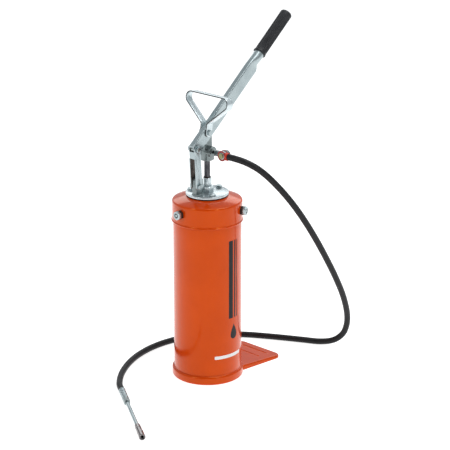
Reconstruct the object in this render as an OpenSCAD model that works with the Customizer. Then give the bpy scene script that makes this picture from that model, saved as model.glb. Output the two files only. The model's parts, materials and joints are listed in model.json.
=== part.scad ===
// Hand-lever drum grease pump. Millimetres, +Z up, origin at the centre of the drum's flat underside.
// +X is the way the hand lever points, the pivot pins lie along Y, and the outlet leaves towards -Y.

/* [Drum] */
// Outside diameter of the drum shell
drum_d = 160; // [158:0.5:161]
// Height of the drum shell's top rim
drum_top = 431; // [426:0.5:431.5]
// Sheet thickness of the drum shell
drum_wall = 1.5; // [1:0.1:2]
// Outside diameter of the base cap that the drum stands in
cap_d = 169; // [167:0.5:170]
// Height of the base cap
cap_h = 22; // [18:1:26]

/* [Foot plate] */
// Distance from the drum's axis to the foot plate's outer edge
foot_reach = 190; // [170:1:195]
// Width of the foot plate at its outer edge
foot_w = 140; // [120:1:145]
// Height of the foot plate's top face beside the drum
foot_h = 12; // [11:0.5:14]
// Turn of the foot plate about the drum's axis, in degrees
foot_turn = -1; // [-10:1:10]

/* [Lid] */
// Outside diameter of the lid's skirt
lid_d = 164.2; // [163.6:0.2:165]
// Height of the lid's flat top face
lid_top = 446; // [445:0.5:447]
// Height of the lid skirt's lower edge
lid_low = 386; // [380:1:392]
// Height of the three clamping screws
screw_z = 415; // [408:1:422]

/* [Pump head and lever] */
// Diameter of the hollow piston rod
rod_d = 14; // [12:0.5:15]
// Height of the outlet's axis
outlet_z = 552; // [550:0.5:553]
// Outside width of the pressed lever
lever_w = 14; // [13.6:0.1:14]
// Angle of the lever above the horizontal, in degrees
lever_angle = 39; // [37:0.5:41]
// Diameter of the pivot bolts
pin_d = 8; // [7.5:0.1:8]
// Length of the rubber grip
grip_l = 127; // [110:1:130]
// Outside diameter of the rubber grip
grip_d = 29; // [28:0.5:30]
// Lean of the carrying loop towards the lever, in degrees
loop_lean = 9; // [6:0.5:10]

/* [Hose] */
// Outside diameter of the hose
hose_d = 15; // [12:0.5:15]

/* [Hidden] */

eps = 0.02;          // gap between faces that touch
fit = 0.05;          // radial clearance of a running fit
cut = 1;             // how far a cutting tool runs past a face

// drum and lid
drum_r = drum_d / 2;
cap_r = cap_d / 2;
cap_floor = 3;
lid_r = lid_d / 2;
lid_t = 1.5;
lid_shoulder = 5;
bead_r = 1.9;         // the rolled bead round the skirt's lower edge
lid_edge_z = 437;    // where the sloping top meets the rounded shoulder
lid_flat_r = 50;     // the top is flat under the pump's flange and slopes down outside it
lid_hole_r = 22;
gasket_t = 2.5;
screw_angles = [54.5, 174.5, 294.5];
screw_r = 6;
screw_af = 19;
nut_t = 6.4;
screw_head = 7.5;

// foot plate
foot_t = 2;
foot_corner = 18;
foot_flare = 6.3;    // each side edge spreads outwards by this angle
foot_slope = 2.6;    // the top falls away from the drum by this angle
foot_start = 60;     // where the top is foot_h high
rib_u = [139, 167];
rib_half = 41;
rib_r = 2.5;

// flange, gland and barrel
flange_r = 50;
flange_t = 5.5;
flange_z = lid_top + gasket_t;
flange_top = flange_z + flange_t;
flange_bolt_r = 40;
flange_bolt_angles = [0, 120, 240];
spigot_r = 12.5;
gland_af = 26;
gland_h = 14;
gland_nut_z = flange_top + gland_h;
gland_nut_h = 19.5;
gland_nut_af = 18;
packing_r = 8.1;
scraper_h = 3;
scraper_r = 8.3;
barrel_r = 19;
barrel_in = 16;
barrel_low = 30;
rod_r = rod_d / 2;
rod_bore = 3.5;

// pivots: B on the post, T at the lever's end, H on the pump head
pin_r = pin_d / 2;
B = [-36.5, 475];
T = [-42, 565];
H = [-4, 597];
link_len = norm(T - B);
link_lean = atan2(T[0] - B[0], T[1] - B[1]);
lever_in = 5;
cheek_in = 7.2;
cheek_out = 9.7;
open_hole_r = 7;
bolt_head = 5.3;
nut_h = 6.5;
bolt_af = 13;

// lever section in its own frame: origin at T, first axis along the lever
web_top = 15.5;
cheek_low = -14.5;
lever_t = 2;
taper_x = 256;       // the channel keeps its full depth up to here
tube_x = 280;        // from here the sheet is rolled into a round tube
tube_z = 2;
tube_r = 12.4;
grip_x = 288;
grip_r = grip_d / 2;

// pump head
head_low = 528;
head_shoulder = 551;
head_top = 563;
head_half = 12;      // half the width of the square block
boss_r = 12.5;
tang_half = 4.8;
tang_r = 10;
banjo_y = -54.5;
eye_r = 11;
eye_x = [-9.5, -1.5];
washer_t = 1.48;
washer_r = 12.3;
banjo_af = 12;
banjo_head_x = -14.5;
collar_y = [-71, -61];

// piston and valves
piston_low = 101;
piston_h = 36;
piston_seat_z = piston_low + 8;
piston_seal_z = piston_low + 10;
piston_pin_z = piston_low + 20;
rod_low = piston_low + 24;
piston_ball_r = 5;
valve_seat_z = 40;
valve_pin_z = 60;
valve_top = 64;
valve_ball_r = 8;
follower_z = 300;

// carrying loop, in its own plane: across, and up from H
loop_w = 20;
loop_t = 3;
loop_in = 7.2;
loop_knee = 21;
loop_half = 63;
loop_corner = 14;
loop_top = 87;

// Route of the hose's centre line from the collar on the outlet to the ferrule on the floor
hose_route = [[-5.5, -71, 552], [-5.5, -92, 552], [4, -115, 546], [20, -136, 532], [40, -150, 511],
    [63, -161, 484], [87, -170, 454], [111, -177, 422], [136, -182, 387], [161, -185, 351],
    [186, -186, 315], [211, -186, 278], [236, -185, 241], [260, -183, 204], [284, -179, 167],
    [306, -173, 129], [324, -165, 94], [334, -156, 62], [335, -143, 34], [326, -122, 15],
    [310, -93, 8], [290, -55, 8], [270, -15, 8], [247, 28, 8], [222, 70, 8], [190, 111, 8],
    [152, 147, 8], [108, 172, 8], [60, 186, 8], [10, 190, 8], [-40, 184, 8], [-87, 170, 8],
    [-131, 149, 8], [-171, 123, 8], [-208, 90, 8], [-228, 62, 8]];
hose_sides = 10;
tip = [-228, 62, 8];                 // where the hose ends
tip_dir = [-0.575, -0.818];          // unit direction of the pipe on the floor
tip_turn = atan2(tip_dir[1], tip_dir[0]);
ferrule_l = 52;
pipe_nut_l = 20;
pipe_x = ferrule_l + pipe_nut_l;
pipe_r = 4.5;
pipe_l = 126;
coupler_x = pipe_x + pipe_l;
coupler_l = 62;

function arc(cx, cz, r, a0, a1, n = 8) =
    [for (i = [0:n]) [cx + r * cos(a0 + (a1 - a0) * i / n), cz + r * sin(a0 + (a1 - a0) * i / n)]];

// ---- shapes that repeat ----

module tube(r_out, r_in, z0, z1, n = 96) {
    difference() {
        translate([0, 0, z0]) cylinder(r = r_out, h = z1 - z0, $fn = n);
        translate([0, 0, z0 - cut]) cylinder(r = r_in, h = z1 - z0 + 2 * cut, $fn = n);
    }
}

// a rod along Y from y0 to y1 through the point p = [x, z]
module rod_y(p, r, y0, y1, n = 48) {
    translate([p[0], y0, p[1]]) rotate([-90, 0, 0]) cylinder(r = r, h = y1 - y0, $fn = n);
}

// a rod along X from x0 to x1 at y, z
module rod_x(y, z, r, x0, x1, n = 48) {
    translate([x0, y, z]) rotate([0, 90, 0]) cylinder(r = r, h = x1 - x0, $fn = n);
}

// hexagonal head or nut along Y
module hex_y(p, af, y0, y1) {
    translate([p[0], y0, p[1]]) rotate([-90, 30, 0]) cylinder(r = af / 2 / cos(30), h = y1 - y0, $fn = 6);
}

module pivot_bolt(p, y_head, y_end) {
    color("lightsteelblue") union() {
        hex_y(p, bolt_af, y_head - bolt_head, y_head);
        rod_y(p, pin_r, y_head - cut, y_end);
    }
}

module pivot_nut(p, y0) {
    color("lightsteelblue") difference() {
        hex_y(p, bolt_af, y0, y0 + nut_h);
        rod_y(p, pin_r + eps, y0 - cut, y0 + nut_h + cut);
    }
}

// the lever's own frame, in the plane of the linkage
module at_lever() {
    translate([T[0], 0, T[1]]) rotate([0, -lever_angle, 0]) children();
}

// the frame of the pipe on the floor: first axis along it, from the hose's end
module at_tip() {
    translate(tip) rotate([0, 0, tip_turn]) children();
}

module along_tip(r, x0, x1, n = 48) {
    translate([x0, 0, 0]) rotate([0, 90, 0]) cylinder(r = r, h = x1 - x0, $fn = n);
}

// ---- drum and base ----

module drum_shell() {
    color([0.80, 0.27, 0.02]) difference() {
        translate([0, 0, cap_floor + eps]) cylinder(r = drum_r, h = drum_top - cap_floor - eps, $fn = 128);
        translate([0, 0, cap_floor + drum_wall]) cylinder(r = drum_r - drum_wall, h = drum_top, $fn = 128);
    }
}

module base_cap() {
    color([0.78, 0.24, 0.02]) rotate_extrude($fn = 128)
        polygon(concat([[0, 0]], arc(cap_r - 4, 4, 4, -90, 0), arc(cap_r - 4, cap_h - 4, 4, 0, 90),
            [[drum_r + 2 * eps, cap_h], [drum_r + 2 * eps, cap_floor], [0, cap_floor]]));
}

// outline of the foot plate, its edges moved outwards by grow
module foot_outline(grow) {
    r = foot_corner + grow;
    u = foot_reach - foot_corner;
    v = foot_w / 2 - foot_corner * tan(foot_flare) - foot_corner / cos(foot_flare);
    corner = arc(u, v, r, 0, 90 + foot_flare);
    inner = v + r / cos(foot_flare) - u * tan(foot_flare);
    outline = concat(corner, [[0, inner]]);
    difference() {
        polygon(concat(outline, [for (i = [len(outline) - 1:-1:0]) [outline[i][0], -outline[i][1]]]));
        circle(r = cap_r + eps - grow, $fn = 128);
    }
}

// everything under the sloping plane that lies drop below the foot plate's top
module under_slope(drop) {
    intersection() {
        linear_extrude(foot_h + 10) children();
        translate([foot_start, 0, foot_h - drop]) rotate([0, foot_slope, 0])
            translate([-100, -150, -100]) cube([300, 300, 100]);
    }
}

module foot_plate() {
    color([0.83, 0.32, 0.10]) rotate([0, 0, foot_turn]) {
        difference() {
            under_slope(0) foot_outline(0);
            translate([0, 0, -cut]) under_slope(foot_t - cut) foot_outline(-foot_t);
        }
        for (u = rib_u) translate([u, 0, foot_h - (u - foot_start) * tan(foot_slope) - 0.8]) rotate([90, 0, 0])
            cylinder(r = rib_r, h = 2 * rib_half, center = true, $fn = 32);
    }
}

// ---- lid ----

module lid() {
    s = lid_shoulder;
    color([0.82, 0.30, 0.04]) difference() {
        rotate_extrude($fn = 128) union() {
            polygon(concat([[lid_hole_r, lid_top - lid_t], [lid_hole_r, lid_top], [lid_flat_r, lid_top]],
                arc(lid_r - s, lid_edge_z - s, s, 80, 0), [[lid_r, lid_low + 1], [lid_r - lid_t, lid_low + 1]],
                arc(lid_r - s, lid_edge_z - s, s - lid_t, 0, 80), [[lid_flat_r, lid_top - lid_t]]));
            translate([lid_r - 0.05, lid_low + bead_r]) circle(r = bead_r, $fn = 32);
        }
        for (a = screw_angles) rotate([0, 0, a])
            rod_x(0, screw_z, screw_r + 0.3, drum_r - 4, lid_r + 4);
        for (a = flange_bolt_angles) rotate([0, 0, a])
            translate([flange_bolt_r, 0, lid_top - 8]) cylinder(r = 4.3, h = 16, $fn = 32);
    }
}

module lid_gasket() {
    color([0.12, 0.12, 0.12])
        tube(drum_r - 0.2, drum_r - 7, drum_top + eps, drum_top + 3, 96);
}

module lid_screws() {
    color("lightsteelblue") for (a = screw_angles) rotate([0, 0, a]) union() {
        rod_x(0, screw_z, screw_r, drum_r + eps, lid_r + nut_t + 1);
        translate([lid_r + nut_t + eps, 0, screw_z]) rotate([0, 90, 0])
            cylinder(r = screw_af / 2 / cos(30), h = screw_head, $fn = 6);
    }
}

module lid_nuts() {
    color([0.16, 0.10, 0.08]) for (a = screw_angles) rotate([0, 0, a]) difference() {
        translate([lid_r + eps, 0, screw_z]) rotate([0, 90, 0])
            cylinder(r = screw_af / 2 / cos(30), h = nut_t - eps, $fn = 6);
        rod_x(0, screw_z, screw_r + eps, lid_r - cut, lid_r + nut_t + cut);
    }
}

// ---- flange, barrel and gland ----

module flange_gasket() {
    color([0.10, 0.08, 0.08]) difference() {
        tube(flange_r - 0.5, lid_hole_r, lid_top + eps, flange_z - eps);
        for (a = flange_bolt_angles) rotate([0, 0, a])
            translate([flange_bolt_r, 0, lid_top - cut]) cylinder(r = 4.3, h = 6, $fn = 32);
    }
}

module pump_flange() {
    color([0.74, 0.79, 0.82]) difference() {
        tube(flange_r, spigot_r + eps, flange_z, flange_top);
        for (a = flange_bolt_angles) rotate([0, 0, a])
            translate([flange_bolt_r, 0, flange_z - cut]) cylinder(r = 4.3, h = 8, $fn = 32);
    }
}

module flange_bolts() {
    color("lightsteelblue") for (a = flange_bolt_angles) rotate([0, 0, a])
        translate([flange_bolt_r, 0, 0]) union() {
            translate([0, 0, flange_top + eps]) cylinder(r = bolt_af / 2 / cos(30), h = bolt_head, $fn = 6);
            translate([0, 0, lid_top - 14]) cylinder(r = 4, h = flange_top - lid_top + 15, $fn = 32);
            translate([0, 0, lid_top - lid_t - nut_h - eps])
                cylinder(r = bolt_af / 2 / cos(30), h = nut_h, $fn = 6);
        }
}

module post() {
    color([0.62, 0.66, 0.66]) difference() {
        translate([-44, -7, flange_top + eps]) cube([22, 14, 496 - flange_top - eps]);
        rod_y(B, pin_r + fit, -8, 8);
    }
}

module pump_barrel() {
    color([0.70, 0.73, 0.75]) tube(barrel_r, barrel_in, barrel_low, flange_z - eps);
}

module foot_valve_body() {
    color([0.70, 0.62, 0.38]) difference() {
        union() {
            translate([0, 0, 20]) cylinder(r = barrel_r, h = barrel_low - eps - 20, $fn = 96);
            translate([0, 0, 29]) cylinder(r = barrel_in - eps, h = valve_top - 29, $fn = 96);
        }
        translate([0, 0, 19]) cylinder(r = 6, h = 50, $fn = 48);
        translate([0, 0, valve_seat_z]) cylinder(r = 11, h = 30, $fn = 64);
        rod_y([0, valve_pin_z], 1.5 + eps, -20, 20, 24);
    }
}

module foot_valve_pin() {
    color([0.6, 0.6, 0.62]) rod_y([0, valve_pin_z], 1.5, -15.5, 15.5, 24);
}

module foot_valve_ball() {
    color([0.8, 0.8, 0.82])
        translate([0, 0, valve_seat_z + sqrt(pow(valve_ball_r, 2) - 36) + 0.15]) sphere(r = valve_ball_r, $fn = 48);
}

module gland_body() {
    color([0.78, 0.83, 0.86]) difference() {
        union() {
            translate([0, 0, flange_top + eps]) cylinder(r = gland_af / 2 / cos(30), h = gland_h - 2 * eps, $fn = 6);
            translate([0, 0, flange_z - 12]) cylinder(r = spigot_r, h = 20, $fn = 96);
        }
        translate([0, 0, flange_z - 20]) cylinder(r = rod_r + fit, h = 60, $fn = 64);
    }
}

module gland_packing() {
    color([0.2, 0.17, 0.12]) tube(packing_r, rod_r + fit, gland_nut_z + eps, gland_nut_z + 9, 64);
}

module gland_nut() {
    color([0.80, 0.84, 0.86]) difference() {
        translate([0, 0, gland_nut_z]) cylinder(r = gland_nut_af / 2 / cos(30), h = gland_nut_h, $fn = 6);
        translate([0, 0, gland_nut_z - cut]) cylinder(r = rod_r + 0.4, h = gland_nut_h + 2 * cut, $fn = 64);
        translate([0, 0, gland_nut_z - cut]) cylinder(r = packing_r + eps, h = 9 + cut + eps, $fn = 64);
    }
}

module scraper_ring() {
    z0 = gland_nut_z + gland_nut_h + eps;
    color([0.08, 0.08, 0.09]) tube(scraper_r, rod_r + fit, z0, z0 + scraper_h, 64);
}

// ---- link, lever and grip ----

module link() {
    t = cheek_out - cheek_in;
    color([0.72, 0.80, 0.84]) translate([B[0], 0, B[1]]) rotate([0, link_lean, 0]) difference() {
        union() {
            for (y = [-cheek_out, cheek_in]) {
                for (z = [0, link_len]) rod_y([0, z], 9.5, y, y + t);
                translate([-9.5, y, 0]) cube([19, t, link_len]);
            }
            translate([-9.5, -cheek_out, 69]) cube([t, 2 * cheek_out, 16]);
        }
        for (z = [0, link_len]) rod_y([0, z], pin_r + eps, -12, 12);
    }
}

module lower_bolt() { pivot_bolt(B, -cheek_out - eps, cheek_out + nut_h + 2); }
module lower_nut() { pivot_nut(B, cheek_out + eps); }
module upper_bolt() { pivot_bolt(T, -cheek_out - eps, cheek_out + nut_h + 2); }
module upper_nut() { pivot_nut(T, cheek_out + eps); }

module lever_side() {
    polygon([[-2, web_top], [-5, web_top - 3], [-5, cheek_low + 8], [3, cheek_low],
        [taper_x - 6, cheek_low - 1.5], [taper_x, cheek_low], [taper_x + 7, -9], [taper_x + 7, web_top - 1],
        [taper_x - 20, web_top]]);
}

// cross-section of the lever where the channel opens out into the tube
module channel_slice(x, half_w, top, low) {
    translate([x, -half_w, low]) cube([0.5, 2 * half_w, top - low]);
}

module lever() {
    half = lever_w / 2;
    color([0.72, 0.79, 0.83]) difference() {
        union() {
            at_lever() difference() {
                union() {
                    translate([0, half, 0]) rotate([90, 0, 0]) linear_extrude(lever_w) lever_side();
                    hull() {
                        channel_slice(taper_x - 8, half, web_top, -8);
                        translate([tube_x, 0, tube_z]) rotate([0, 90, 0]) cylinder(r = tube_r, h = 1, $fn = 32);
                    }
                }
                translate([-20, -lever_in, -40]) cube([taper_x + 28, 2 * lever_in, 40 + web_top - lever_t]);
                hull() {
                    channel_slice(taper_x - 9, lever_in, web_top - lever_t, -8 + lever_t);
                    translate([tube_x - 1, 0, tube_z]) rotate([0, 90, 0])
                        cylinder(r = tube_r - lever_t, h = 4, $fn = 32);
                }
            }
            at_lever() translate([tube_x, 0, tube_z]) rotate([0, 90, 0])
                difference() {
                    cylinder(r = tube_r, h = grip_x + grip_l - 12 - tube_x, $fn = 64);
                    translate([0, 0, -1]) cylinder(r = tube_r - lever_t, h = grip_l + 20, $fn = 64);
                }
        }
        rod_y(H, open_hole_r, -12, 12);
        rod_y(T, open_hole_r + eps, -12, 12);
    }
}

module lever_bush() {
    color([0.6, 0.6, 0.62]) difference() {
        rod_y(T, open_hole_r, -lever_w / 2 + eps, lever_w / 2 - eps);
        rod_y(T, pin_r + fit, -12, 12);
    }
}

module grip() {
    color([0.09, 0.09, 0.10]) at_lever() translate([grip_x, 0, tube_z]) rotate([0, 90, 0]) difference() {
        rotate_extrude($fn = 64) polygon(concat([[0, 0], [grip_r + 1.2, 0], [grip_r + 1.2, 2], [grip_r, 5]],
            arc(grip_r - 3, grip_l - 3, 3, 0, 90), [[0, grip_l]]));
        translate([0, 0, -1]) cylinder(r = tube_r + eps, h = grip_l - 10, $fn = 64);
    }
}

// ---- pump head, rod and piston ----

module tang_outline() {
    translate(H) circle(r = tang_r, $fn = 64);
    polygon([[-12, head_top - 12], [12, head_top - 12], [11, H[1] - 8], [5, H[1] + 3], [-13, H[1] + 1]]);
}

module pump_head() {
    color([0.55, 0.60, 0.62]) difference() {
        union() {
            translate([0, 0, head_low]) rotate(45)
                cylinder(r1 = (head_half - 3) * sqrt(2), r2 = head_half * sqrt(2), h = 3, $fn = 4);
            translate([-head_half, -head_half, head_low + 3])
                cube([2 * head_half, 2 * head_half, head_shoulder - head_low - 3]);
            translate([0, 0, head_shoulder]) rotate(45)
                cylinder(r1 = head_half * sqrt(2), r2 = 7 * sqrt(2), h = head_top - head_shoulder, $fn = 4);
            rod_y([0, outlet_z], boss_r, -19, 0, 64);
            translate([0, tang_half, 0]) rotate([90, 0, 0]) linear_extrude(2 * tang_half) tang_outline();
        }
        rod_y(H, pin_r + eps, -12, 12);
        translate([0, 0, head_low - cut]) cylinder(r = rod_r + eps, h = 12 + cut, $fn = 64);
        translate([0, 0, head_low]) cylinder(r = rod_bore, h = outlet_z - head_low + 3, $fn = 48);
        rod_y([0, outlet_z], 4, -20, 1);
    }
}

module piston_rod() {
    color([0.25, 0.24, 0.25]) tube(rod_r, rod_bore, rod_low, head_low + 12 - eps, 64);
}

module piston() {
    color([0.70, 0.62, 0.38]) difference() {
        translate([0, 0, piston_low]) cylinder(r = barrel_in - 0.1, h = piston_h, $fn = 96);
        translate([0, 0, piston_low - cut]) cylinder(r = 4, h = piston_h, $fn = 48);
        translate([0, 0, piston_seat_z]) cylinder(r = 5.8, h = rod_low - piston_seat_z + cut, $fn = 48);
        translate([0, 0, rod_low - eps]) cylinder(r = rod_r + eps, h = 20, $fn = 64);
        translate([0, 0, piston_seal_z]) difference() {
            cylinder(r = 20, h = 6, $fn = 96);
            translate([0, 0, -1]) cylinder(r = 12, h = 8, $fn = 96);
        }
        rod_y([0, piston_pin_z], 1 + eps, -12, 12, 24);
    }
}

module piston_seal() {
    color([0.12, 0.10, 0.09]) tube(barrel_in - fit, 12 + eps, piston_seal_z + eps, piston_seal_z + 6 - eps);
}

module piston_ball_pin() {
    color([0.6, 0.6, 0.62]) rod_y([0, piston_pin_z], 1, -7.5, 7.5, 24);
}

module piston_ball() {
    color([0.8, 0.8, 0.82])
        translate([0, 0, piston_seat_z + sqrt(pow(piston_ball_r, 2) - 16) + 0.15]) sphere(r = piston_ball_r, $fn = 48);
}

// ---- outlet ----

module outlet_adapter() {
    color([0.55, 0.62, 0.60]) difference() {
        union() {
            translate([0, -28, outlet_z]) rotate([-90, 0, 0]) cylinder(r = 11 / cos(30), h = 9 - eps, $fn = 6);
            rod_y([0, outlet_z], 7, -44, -27);
            rod_x(banjo_y, outlet_z, eye_r, 0, 9);
            translate([0, banjo_y, outlet_z - 7]) cube([7, 12, 14]);
        }
        rod_y([0, outlet_z], 4, -42, -10);
        rod_x(banjo_y, outlet_z, washer_r + 0.3, -20, 0, 64);
        rod_x(banjo_y, outlet_z, 5 + eps, -1, 8);
    }
}

module banjo_eye() {
    color([0.70, 0.72, 0.72]) difference() {
        union() {
            rod_x(banjo_y, outlet_z, eye_r, eye_x[0], eye_x[1]);
            rod_y([(eye_x[0] + eye_x[1]) / 2, outlet_z], 3.9, collar_y[0] + eps, banjo_y);
        }
        rod_x(banjo_y, outlet_z, 5 + eps, -20, 5);
        rod_y([(eye_x[0] + eye_x[1]) / 2, outlet_z], 2, collar_y[0] - cut, banjo_y);
    }
}

module banjo_bolt() {
    color([0.55, 0.58, 0.38]) difference() {
        union() {
            rod_x(banjo_y, outlet_z, 5, -12, 7.5);
            translate([banjo_head_x, banjo_y, outlet_z]) rotate([0, 90, 0])
                cylinder(r = banjo_af / 2 / cos(30), h = -11 - banjo_head_x - 2 * eps, $fn = 6);
        }
        rod_x(banjo_y, outlet_z, 2, -8, 9);
    }
}

module copper_washers() {
    color([0.62, 0.27, 0.22]) for (x = [-11 + eps, -washer_t - eps / 2])
        difference() {
            rod_x(banjo_y, outlet_z, washer_r, x, x + washer_t - eps);
            rod_x(banjo_y, outlet_z, 5 + eps, x - cut, x + washer_t + cut);
        }
}

module hose_collar() {
    x = (eye_x[0] + eye_x[1]) / 2;
    color([0.75, 0.22, 0.12]) difference() {
        rod_y([x, outlet_z], 9.3, collar_y[0], collar_y[1], 64);
        rod_x(banjo_y, outlet_z, washer_r + 0.2, -20, 10, 64);
        rod_y([x, outlet_z], 3.9 + eps, collar_y[0] - cut, collar_y[1] + cut);
    }
}

module head_bolt() { pivot_bolt(H, -loop_in - loop_t - 0.1, loop_in + loop_t + nut_h + 2); }
module head_nut() { pivot_nut(H, loop_in + loop_t + 0.1); }

// ---- carrying loop ----

// centre line of the strap from the left foot over the top bar to the right foot
strap_half = concat([[loop_in + loop_t / 2, -10], [loop_in + loop_t / 2, loop_knee]],
    arc(loop_half - loop_corner, loop_top - loop_corner, loop_corner, -50, 90, 8));
strap = concat([for (p = strap_half) [-p[0], p[1]]], [for (i = [len(strap_half) - 1:-1:0]) strap_half[i]]);

// the strap's edge at point i, half its thickness to one side
function strap_edge(i, s) = let (a = strap[max(i - 1, 0)], b = strap[min(i + 1, len(strap) - 1)],
    u = (strap[i] - a) / max(norm(strap[i] - a), eps), v = (b - strap[i]) / max(norm(b - strap[i]), eps),
    w = u + v, n = [-w[1], w[0]] / norm(w), m = norm(u) * norm(v) > 0.5 ? norm(w) / 2 : 1)
    strap[i] + s * n * loop_t / 2 / m;

module carry_loop() {
    n = len(strap) - 1;
    color([0.80, 0.86, 0.88]) difference() {
        translate([H[0], 0, H[1]]) rotate([0, loop_lean, 0]) rotate([90, 0, 90])
            translate([0, 0, -loop_w / 2]) linear_extrude(loop_w)
                polygon(concat([for (i = [0:n]) strap_edge(i, 1)], [for (i = [n:-1:0]) strap_edge(i, -1)]));
        rod_y(H, pin_r + fit, -20, 20);
    }
}

// ---- follower plate ----

module follower_plate() {
    color([0.62, 0.64, 0.66]) tube(72, barrel_r + 0.6, follower_z, follower_z + 3);
}

module follower_seal() {
    color([0.14, 0.13, 0.13]) tube(drum_r - drum_wall - 0.4, 72 + eps, follower_z - 4, follower_z + 7, 96);
}

// ---- hose and its fittings ----

function unit(v) = v / norm(v);
function tangent(p, i) = unit(p[min(i + 1, len(p) - 1)] - p[max(i - 1, 0)]);
function side(t) = abs(t[2]) > 0.98 ? [1, 0, 0] : unit(cross(t, [0, 0, 1]));
function ring(p, i, r, n) = let (t = tangent(p, i), u = side(t), v = cross(u, t))
    [for (k = [0:n - 1]) p[i] + r * (cos(360 * k / n) * u + sin(360 * k / n) * v)];

// a tube of n sides swept along the points p
module swept_tube(p, r, n) {
    m = len(p);
    pts = [for (i = [0:m - 1]) each ring(p, i, r, n)];
    sides = [for (i = [0:m - 2], k = [0:n - 1]) let (a = i * n + k, b = i * n + (k + 1) % n) [a, b, b + n, a + n]];
    polyhedron(pts, concat([[for (k = [n - 1:-1:0]) k]], sides, [[for (k = [0:n - 1]) (m - 1) * n + k]]));
}

module hose() {
    color([0.10, 0.10, 0.11]) swept_tube(hose_route, hose_d / 2, hose_sides);
}

module hose_ferrule() {
    color([0.72, 0.77, 0.79]) at_tip() along_tip(8, eps, ferrule_l - eps);
}

module pipe_nut() {
    color([0.62, 0.67, 0.69]) at_tip() translate([ferrule_l, 0, 0]) rotate([0, 90, 0])
        difference() {
            cylinder(r = 8, h = pipe_nut_l, $fn = 6);
            translate([0, 0, pipe_nut_l - 10]) cylinder(r = pipe_r + eps, h = 12, $fn = 48);
        }
}

module extension_pipe() {
    color([0.75, 0.80, 0.82]) at_tip() difference() {
        along_tip(pipe_r, pipe_x - 10 + eps, coupler_x + 8 - eps);
        along_tip(2, pipe_x - 12, coupler_x + 10);
    }
}

// a profile of [radius, distance from the coupler's start] turned about the pipe's axis
module turned_at_coupler(profile) {
    translate([coupler_x, 0, 0]) rotate([0, 90, 0]) rotate_extrude($fn = 64) polygon(profile);
}

module coupler_body() {
    color([0.66, 0.68, 0.70]) at_tip() difference() {
        turned_at_coupler([[0, 0], [6, 0], [6.6, 0.6], [6.6, 7], [7, 7.6], [7, 17], [6.5, 17.5], [6.5, 18.6],
            [7, 19.1], [7, 33.3], [6.4, 34 - eps], [0, 34 - eps]]);
        along_tip(pipe_r + eps, coupler_x - cut, coupler_x + 8);
        along_tip(2, coupler_x, coupler_x + 26);
        along_tip(4.2, coupler_x + 26, coupler_x + 40);
    }
}

module coupler_sleeve() {
    l = coupler_l;
    color([0.60, 0.50, 0.48]) at_tip()
        turned_at_coupler([[6.5, 34], [7.2, 34], [7.6, 34.4], [7.6, 38], [7.3, 38.4], [7.3, 39.4], [7.6, 39.8],
            [7.6, l - 1.8], [7.3, l - 0.6], [6.7, l], [5.6, l], [5.1, l - 0.5], [5, l - 1.2], [5, l - 3],
            [6.5, l - 3]]);
}

module coupler_jaws() {
    color([0.35, 0.36, 0.38]) at_tip() difference() {
        along_tip(6.3, coupler_x + 36, coupler_x + coupler_l - 3 - eps);
        along_tip(3.4, coupler_x + 35, coupler_x + coupler_l + cut);
        for (a = [45, 135]) translate([coupler_x + 46, 0, 0]) rotate([a, 0, 0]) cube([24, 1, 20], center = true);
    }
}

drum_shell();
base_cap();
foot_plate();
lid();
lid_gasket();
lid_screws();
lid_nuts();
flange_gasket();
pump_flange();
flange_bolts();
post();
pump_barrel();
foot_valve_body();
foot_valve_pin();
foot_valve_ball();
gland_body();
gland_packing();
gland_nut();
scraper_ring();
link();
lower_bolt();
lower_nut();
upper_bolt();
upper_nut();
lever();
lever_bush();
grip();
pump_head();
piston_rod();
piston();
piston_seal();
piston_ball_pin();
piston_ball();
outlet_adapter();
banjo_eye();
banjo_bolt();
copper_washers();
hose_collar();
head_bolt();
head_nut();
carry_loop();
follower_plate();
follower_seal();
hose();
hose_ferrule();
pipe_nut();
extension_pipe();
coupler_body();
coupler_sleeve();
coupler_jaws();
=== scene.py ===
import json
import math

import bmesh
import bpy
from mathutils import Matrix, Vector


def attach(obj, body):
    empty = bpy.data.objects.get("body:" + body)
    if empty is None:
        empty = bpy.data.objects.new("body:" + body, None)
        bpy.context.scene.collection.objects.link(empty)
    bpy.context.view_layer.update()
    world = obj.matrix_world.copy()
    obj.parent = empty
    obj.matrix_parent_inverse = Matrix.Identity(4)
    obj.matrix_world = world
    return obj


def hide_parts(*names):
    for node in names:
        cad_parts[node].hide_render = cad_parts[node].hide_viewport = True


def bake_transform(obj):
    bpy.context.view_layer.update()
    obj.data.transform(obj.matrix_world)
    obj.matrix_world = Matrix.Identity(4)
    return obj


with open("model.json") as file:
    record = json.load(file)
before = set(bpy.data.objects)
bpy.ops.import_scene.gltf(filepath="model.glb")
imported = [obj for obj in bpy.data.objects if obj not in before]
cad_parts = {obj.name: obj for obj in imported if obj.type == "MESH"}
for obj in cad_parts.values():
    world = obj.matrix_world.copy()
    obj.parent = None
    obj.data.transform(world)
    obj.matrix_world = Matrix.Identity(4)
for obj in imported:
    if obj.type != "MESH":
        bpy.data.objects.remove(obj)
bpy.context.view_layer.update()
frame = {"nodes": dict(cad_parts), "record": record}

MM = 0.001
PI = math.pi


# ---------------------------------------------------------------- outlines

def arc2(cx, cy, r, a0, a1, n):
    """Points on an arc, angles in degrees."""
    return [(cx + r * math.cos(math.radians(a0 + (a1 - a0) * i / n)),
             cy + r * math.sin(math.radians(a0 + (a1 - a0) * i / n))) for i in range(n + 1)]


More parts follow.
